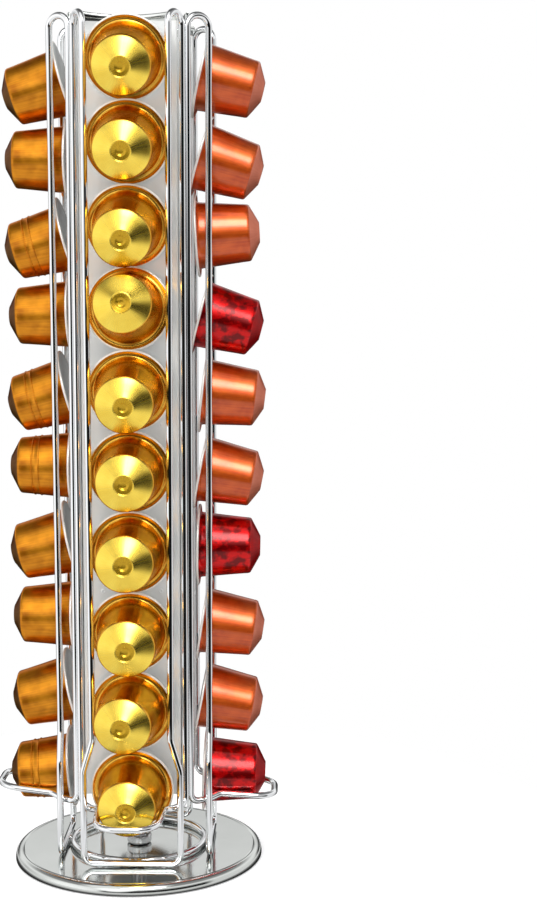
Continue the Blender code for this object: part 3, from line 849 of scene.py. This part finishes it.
# Hand-bent loops differ a little: how far the tip of each rises from the loop's root.
TIP_RISES = {"front": -0.84, "right": -1.96, "back": 0.0, "left": 2.8}
TIP_SIDE, TIP_OUT = 12.96, 62.88
BEND_SEGMENTS = 9


def half_frame(tip_rise):
    """Corners as side, depth and height in millimetres, each with the radius of its bend."""
    tip = LOOP_HEIGHT + tip_rise
    return (
        ((0.0, -GUARD_LOW_OUT, FOOT_HEIGHT), 0.0),
        ((MOUTH_SIDE, -GUARD_LOW_OUT, FOOT_HEIGHT), 4.3),
        ((MOUTH_SIDE, -GUARD_LOW_OUT, FLARE_LOW), 8.0),
        ((GUARD_LOW_SIDE, -GUARD_LOW_OUT, FLARE_HIGH), 8.0),
        ((GUARD_HIGH_SIDE, -GUARD_HIGH_OUT, HAIRPIN_TOP), 5.1),
        ((POST_SIDE, -POST_OUT, HAIRPIN_TOP), 5.1),
        ((POST_SIDE, -POST_OUT, POST_FOOT), 4.0),
        ((18.0, -33.58, POST_FOOT), 5.0),
        ((14.46, -38.08, LOOP_HEIGHT), 5.0),
        ((TIP_SIDE, -TIP_OUT, tip), 9.5),
        ((0.0, -TIP_OUT, tip), 0.0),
    )


# %% Draw the line, mirror it and give it its thickness
WIRE_JOIN = 0.001


def bent_frame(side, tip_rise):
    """The endless wire of one column, drawn as the front one."""
    bends = half_frame(tip_rise)
    corners = [place for place, _ in bends]
    wire = draw_line(f"frame_wire_{side}", corners)
    for before, (corner, radius), after in zip(corners, bends[1:-1], corners[2:]):
        round_corner(before, corner, after, radius, BEND_SEGMENTS)
    to_object_mode()
    mirror = wire.modifiers.new("other half", "MIRROR")
    mirror.merge_threshold = SAME_PLACE * MM
    apply_all(wire)
    bpy.ops.object.convert(target="CURVE")
    wire = bpy.context.object
    wire.data.bevel_depth = WIRE_RADIUS * MM
    wire.data.bevel_resolution = 8
    bpy.ops.object.convert(target="MESH")
    wire = bpy.context.object
    edit(wire)
    bpy.ops.mesh.select_all(action="SELECT")
    bpy.ops.mesh.remove_doubles(threshold=WIRE_JOIN * MM)
    bpy.ops.mesh.normals_make_consistent(inside=False)
    smooth(wire, 60)
    wire.data.materials.append(wire_chrome)
    return wire


# %% Turn each piece to its side of the tower
SIDES = ("front", "right", "back", "left")


def turn_to_side(piece, side):
    """Turns a piece that was drawn at the front to its own side of the spindle."""
    choose(piece)
    piece.rotation_euler = (0, 0, SIDES.index(side) * math.pi / 2)
    bpy.ops.object.transform_apply()


for side in SIDES:
    wire = bent_frame(side, TIP_RISES[side])
    turn_to_side(wire, side)
    keep(wire, "carousel", "wire_chrome", f"wire_frame_{side}")

# %% [markdown]
# ## Back plates
#
# Behind each stack a sheet bends in a shallow trough between the two posts. It is an upright edge
# spun through a small angle round a far centre, which bends it evenly. Its top edge dips in the
# middle and is folded over in a narrow hem. The fold shines more than the sheet below it, so it
# gets the clear chrome of the disc.

# %% One trough of sheet
# Depths are from the spindle, and the front is negative. Heights are from the table.
PLATE_HALF = 21.45
PLATE_MIDDLE = -21.78
PLATE_DEPTH = 3.4
PLATE_LOW, PLATE_HIGH = 35.8, 379.9
PLATE_STEPS = 36
SHEET = 0.7
TOP_DIP = 1.5
HEM = 2.0
HEM_GAP = 0.95
# Room under the hem, so that what is picked near the top is the hem alone.
HEM_ROOM = 0.3
# Height of the narrow strip along the bottom edge.
LOW_STRIP = 0.5
# A hair under half the gap, so that the two rounds of the fold don't meet.
FOLD_ROUND = HEM_GAP / 2.01
bend_radius = (PLATE_HALF**2 + PLATE_DEPTH**2) / (2 * PLATE_DEPTH)
half_angle = math.asin(PLATE_HALF / bend_radius)
far_centre = PLATE_MIDDLE - bend_radius
edge_line = PLATE_MIDDLE - PLATE_DEPTH
top_line = PLATE_HIGH - SHEET / 2
plate_line = [
    (-PLATE_HALF, edge_line, PLATE_LOW), (-PLATE_HALF, edge_line, PLATE_LOW + LOW_STRIP),
    (-PLATE_HALF, edge_line, PLATE_HIGH - 2 * HEM - HEM_ROOM), (-PLATE_HALF, edge_line, top_line),
    (-PLATE_HALF, edge_line - HEM_GAP, top_line), (-PLATE_HALF, edge_line - HEM_GAP, top_line - HEM),
]
plate = draw_line("trough_front", plate_line)
for index in (3, 4):
    round_corner(*plate_line[index - 1:index + 2], FOLD_ROUND, 4)
bpy.ops.mesh.select_all(action="SELECT")
bpy.ops.mesh.spin(
    steps=PLATE_STEPS, angle=2 * half_angle, axis=(0, 0, 1), center=(0, far_centre * MM, 0)
)
print("trough bends on a radius of", round(bend_radius, 1), "mm")


# %% Dip of the top edge
def top_dip(side):
    """How far the top edge lies below the corners of the sheet, this far from its middle."""
    return TOP_DIP * (1 - (side / PLATE_HALF) ** 2)


for step in range(PLATE_STEPS + 1):
    turn = half_angle * (2 * step / PLATE_STEPS - 1)
    dip = top_dip(math.sin(turn) * bend_radius)
    pick(
        lambda place: place.z > PLATE_HIGH - 2 * HEM
        and abs(math.atan2(place.x, place.y - far_centre) - turn) < half_angle / PLATE_STEPS / 2
    )
    bpy.ops.transform.translate(value=(0, 0, -dip * MM))
bpy.ops.mesh.select_all(action="SELECT")
bpy.ops.mesh.remove_doubles(threshold=SAME_PLACE * MM)
bpy.ops.mesh.normals_make_consistent(inside=False)
to_object_mode()
print("trough", [round(v / MM, 2) for v in plate.dimensions])

# %% Thickness and soft edges
CUT_EDGE = 0.2
sheet = plate.modifiers.new("sheet", "SOLIDIFY")
sheet.thickness = SHEET * MM
sheet.offset = 0
apply_all(plate)
edit(plate)
bpy.ops.mesh.select_all(action="SELECT")
bpy.ops.mesh.normals_make_consistent(inside=False)
to_object_mode()
bevel = plate.modifiers.new("cut edges", "BEVEL")
bevel.width = CUT_EDGE * MM
bevel.segments = 2
bevel.limit_method = "ANGLE"
bevel.angle_limit = math.radians(50)
apply_all(plate)
print("trough sheet:", len(plate.data.polygons), "faces")

# %% Rings of the spot welds, and the polished hem
SPOT_HEIGHTS = (60, 128, 202, 265, 332)
SPOT_SIDE = 12.8
SPOT_RADIUS, SPOT_RIDGE = 0.75, 0.22
HEM_SLOT = 1
spot_out = far_centre + math.sqrt(bend_radius**2 - SPOT_SIDE**2) - SHEET / 2
bpy.ops.object.mode_set(mode="EDIT")
for height in SPOT_HEIGHTS:
    for side in (-SPOT_SIDE, SPOT_SIDE):
        bpy.ops.mesh.primitive_torus_add(
            major_segments=20, minor_segments=8, major_radius=SPOT_RADIUS * MM,
            minor_radius=SPOT_RIDGE * MM,
            location=(side * MM, spot_out * MM, height * MM),
            rotation=(math.pi / 2, 0, -math.asin(side / bend_radius)),
        )
smooth(plate)
plate.data.materials.append(sheet_chrome)
plate.data.materials.append(disc_chrome)
edit(plate)
hem_faces = pick(lambda place: place.z + top_dip(place.x) > top_line - HEM - HEM_ROOM, "FACE")
plate.active_material_index = HEM_SLOT
bpy.ops.object.material_slot_assign()
to_object_mode()
print("hem:", hem_faces, "faces")

# %% Copy the trough to the other three sides
troughs = {"front": plate}
for side in SIDES[1:]:
    choose(plate)
    bpy.ops.object.duplicate()
    copy = bpy.context.object
    copy.name = copy.data.name = f"trough_{side}"
    turn_to_side(copy, side)
    troughs[side] = copy
for side, trough in troughs.items():
    keep(trough, "carousel", "plate_mirror", f"back_plate_{side}")

# %% [markdown]
# ## Capsules
#
# A capsule is a turned shell: a foil lid, a flange with a rolled edge, a body that narrows, a round
# shoulder, a flat cone and a small dished nose. Some of the amber ones have two raised bands round
# the body. A shell is turned once for each kind. Every copy takes its place from the capsule of the
# frame that it stands for.

# %% Profile of a capsule, from the middle of its lid to the middle of its nose
# Each point is a radius and a height in millimetres.
LID = ((0.0, 0.30), (14.6, 0.26), (15.4, 0.05), (17.6, 0.02))
EDGE = ((18.15, 0.02), (18.42, 0.2), (18.5, 0.5), (18.42, 0.8), (18.2, 0.98))
FLANGE = ((17.8, 1.04), (17.4, 0.94), (17.0, 0.74), (16.4, 0.7))
ROOT = ((15.9, 0.75), (15.4, 0.95), (15.0, 1.4), (14.74, 2.2))
BODY_FOOT = ((14.54, 4.0), (14.28, 7.0), (13.97, 10.0))
BODY_TIP = ((12.95, 20.0), (12.78, 22.0))
BODY = BODY_FOOT + ((13.62, 13.2), (13.25, 17.0)) + BODY_TIP
RIBBED_BODY = BODY_FOOT + (
    (13.58, 13.6), (13.55, 14.2), (13.78, 14.5), (13.76, 14.8), (13.45, 15.1), (13.27, 16.8),
    (13.25, 17.1), (13.48, 17.4), (13.45, 17.7), (13.14, 18.0),
) + BODY_TIP
SHOULDER = ((12.7, 23.0), (12.6, 23.5), (12.4, 23.9), (12.05, 24.2))
CONE = ((9.5, 25.6), (7.0, 26.95), (4.9, 28.05))
NOSE = (
    (4.65, 28.22), (4.45, 28.28), (4.28, 28.2), (4.16, 28.0), (4.0, 27.88), (3.8, 27.84),
    (2.4, 27.84), (2.15, 27.76), (1.75, 27.4), (1.4, 27.22), (0.9, 27.14), (0.0, 27.12),
)
print("capsule:", max(EDGE)[0] * 2, "mm wide and", max(height for _, height in NOSE), "mm long")

# %% The shell with its five finishes
CAPSULE_STEPS = 64
NOSE_ABOVE = 24.1
LID_BELOW = 0.4
EDGE_BEYOND = 17.8
STAMP_ABOVE, STAMP_WITHIN = 27.0, 3.95


def capsule_shell(name, body, body_finish, nose_finish, stamp_finish):
    """One capsule that stands on its lid at the origin and carries its own places.

    The body's finish is in slot 0. The nose, the foil lid, the bottom of the nose's dish and the
    rolled edge come after it.
    """
    profile = LID + EDGE + FLANGE + ROOT + body + SHOULDER + CONE + NOSE
    shell = draw_line(name, [(radius, 0, height) for radius, height in profile])
    spin_round(shell, CAPSULE_STEPS)
    smooth(shell, 40)
    for material in (body_finish, nose_finish, lid_foil, stamp_finish, edge_highlight_foil):
        shell.data.materials.append(material)
    edit(shell)
    for slot, test in (
        # The nose's finish carries the painted highlight of gold and copper and the painted shade of
        # amber.
        (1, lambda place: place.z > NOSE_ABOVE),
        (2, lambda place: place.z < LID_BELOW),
        # The rolled edge gets the painted highlight.
        (4, lambda place: place.xy.length > EDGE_BEYOND),
        # On the gold shell the dish gets the painted shade.
        (3, lambda place: place.z > STAMP_ABOVE and place.xy.length < STAMP_WITHIN),
    ):
        pick(test, "FACE")
        shell.active_material_index = slot
        bpy.ops.object.material_slot_assign()
    to_object_mode()
    own = shell.data.attributes.new(OWN_PLACE, "FLOAT_VECTOR", "POINT")
    own.data.foreach_set("vector", [value for point in shell.data.vertices for value in point.co])
    return shell


# %% [markdown]
# Most capsules lean a little, as they do in any loose stack. Their places could be typed in again,
# but the frame knows them already. So the middles of the two flat ends of each packed capsule are
# measured, and a copy of the shell is turned to the line from lid to nose.

# %% Where each capsule lies
# Cosine of the angle within which two faces count as parts of the same flat end.
SAME_FACING = 0.99


def lid_and_nose(node):
    """The middles of a capsule's two flat ends, the lid first.

    Each end is a fan of triangles from one point of its rim, so the two points that most
    triangles share find the ends, and the mean of each rim is its middle.
    """
    mesh = node.data
    places = [tuple(round(value, 6) for value in point.co) for point in mesh.vertices]
    shared = Counter(places[index] for face in mesh.polygons for index in face.vertices)
    ends = []
    for hub, _ in shared.most_common(2):
        fan = [face for face in mesh.polygons if hub in [places[index] for index in face.vertices]]
        facing = Counter(tuple(round(value, 2) for value in face.normal) for face in fan)
        normal = Vector(facing.most_common(1)[0][0])
        flat = [face for face in fan if face.normal.dot(normal) > SAME_FACING]
        rim = {places[index] for face in flat for index in face.vertices}
        ends.append(sum(map(Vector, sorted(rim)), Vector()) / len(rim))
    return sorted(ends, key=lambda end: end.xy.length)


def place_capsule(shell, side, number, slot):
    """Copies a shell to the place of one capsule of the frame."""
    lid, nose = lid_and_nose(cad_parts[f"capsule_{side}_{number:02d}"])
    choose(shell)
    bpy.ops.object.duplicate()
    capsule = bpy.context.object
    capsule.name = capsule.data.name = f"pod_{side}_{number:02d}"
    turn = (nose - lid).to_track_quat("Z", "Y").to_matrix().to_4x4()
    capsule.matrix_world = Matrix.Translation(lid) @ turn
    bpy.ops.object.transform_apply()
    keep(capsule, "carousel", slot, f"capsule_{side}_{number:02d}")


# %% Fill the four columns
RED_IN_RIGHT = (1, 4, 7)
RIBBED_IN_LEFT = (1, 5, 6, 8)
gold = capsule_shell("gold_shell", BODY, shaded_body_gold, lit_nose_gold, dish_shade_gold)
copper = capsule_shell("copper_shell", BODY, body_copper, lit_nose_copper, lit_nose_copper)
red = capsule_shell("red_shell", BODY, body_red, nose_red, nose_red)
amber = capsule_shell("amber_shell", BODY, body_amber, shaded_nose_amber, shaded_nose_amber)
ribbed = capsule_shell("ribbed_shell", RIBBED_BODY, body_amber, shaded_nose_amber, shaded_nose_amber)
for number in range(1, 11):
    place_capsule(gold, "front", number, "capsule_gold")
    place_capsule(gold, "back", number, "capsule_pale_gold")
    is_red = number in RED_IN_RIGHT
    right_shell, right_slot = (red, "capsule_red") if is_red else (copper, "capsule_copper")
    place_capsule(right_shell, "right", number, right_slot)
    place_capsule(ribbed if number in RIBBED_IN_LEFT else amber, "left", number, "capsule_amber")
for shell in (gold, copper, red, amber, ribbed):
    bpy.data.objects.remove(shell)
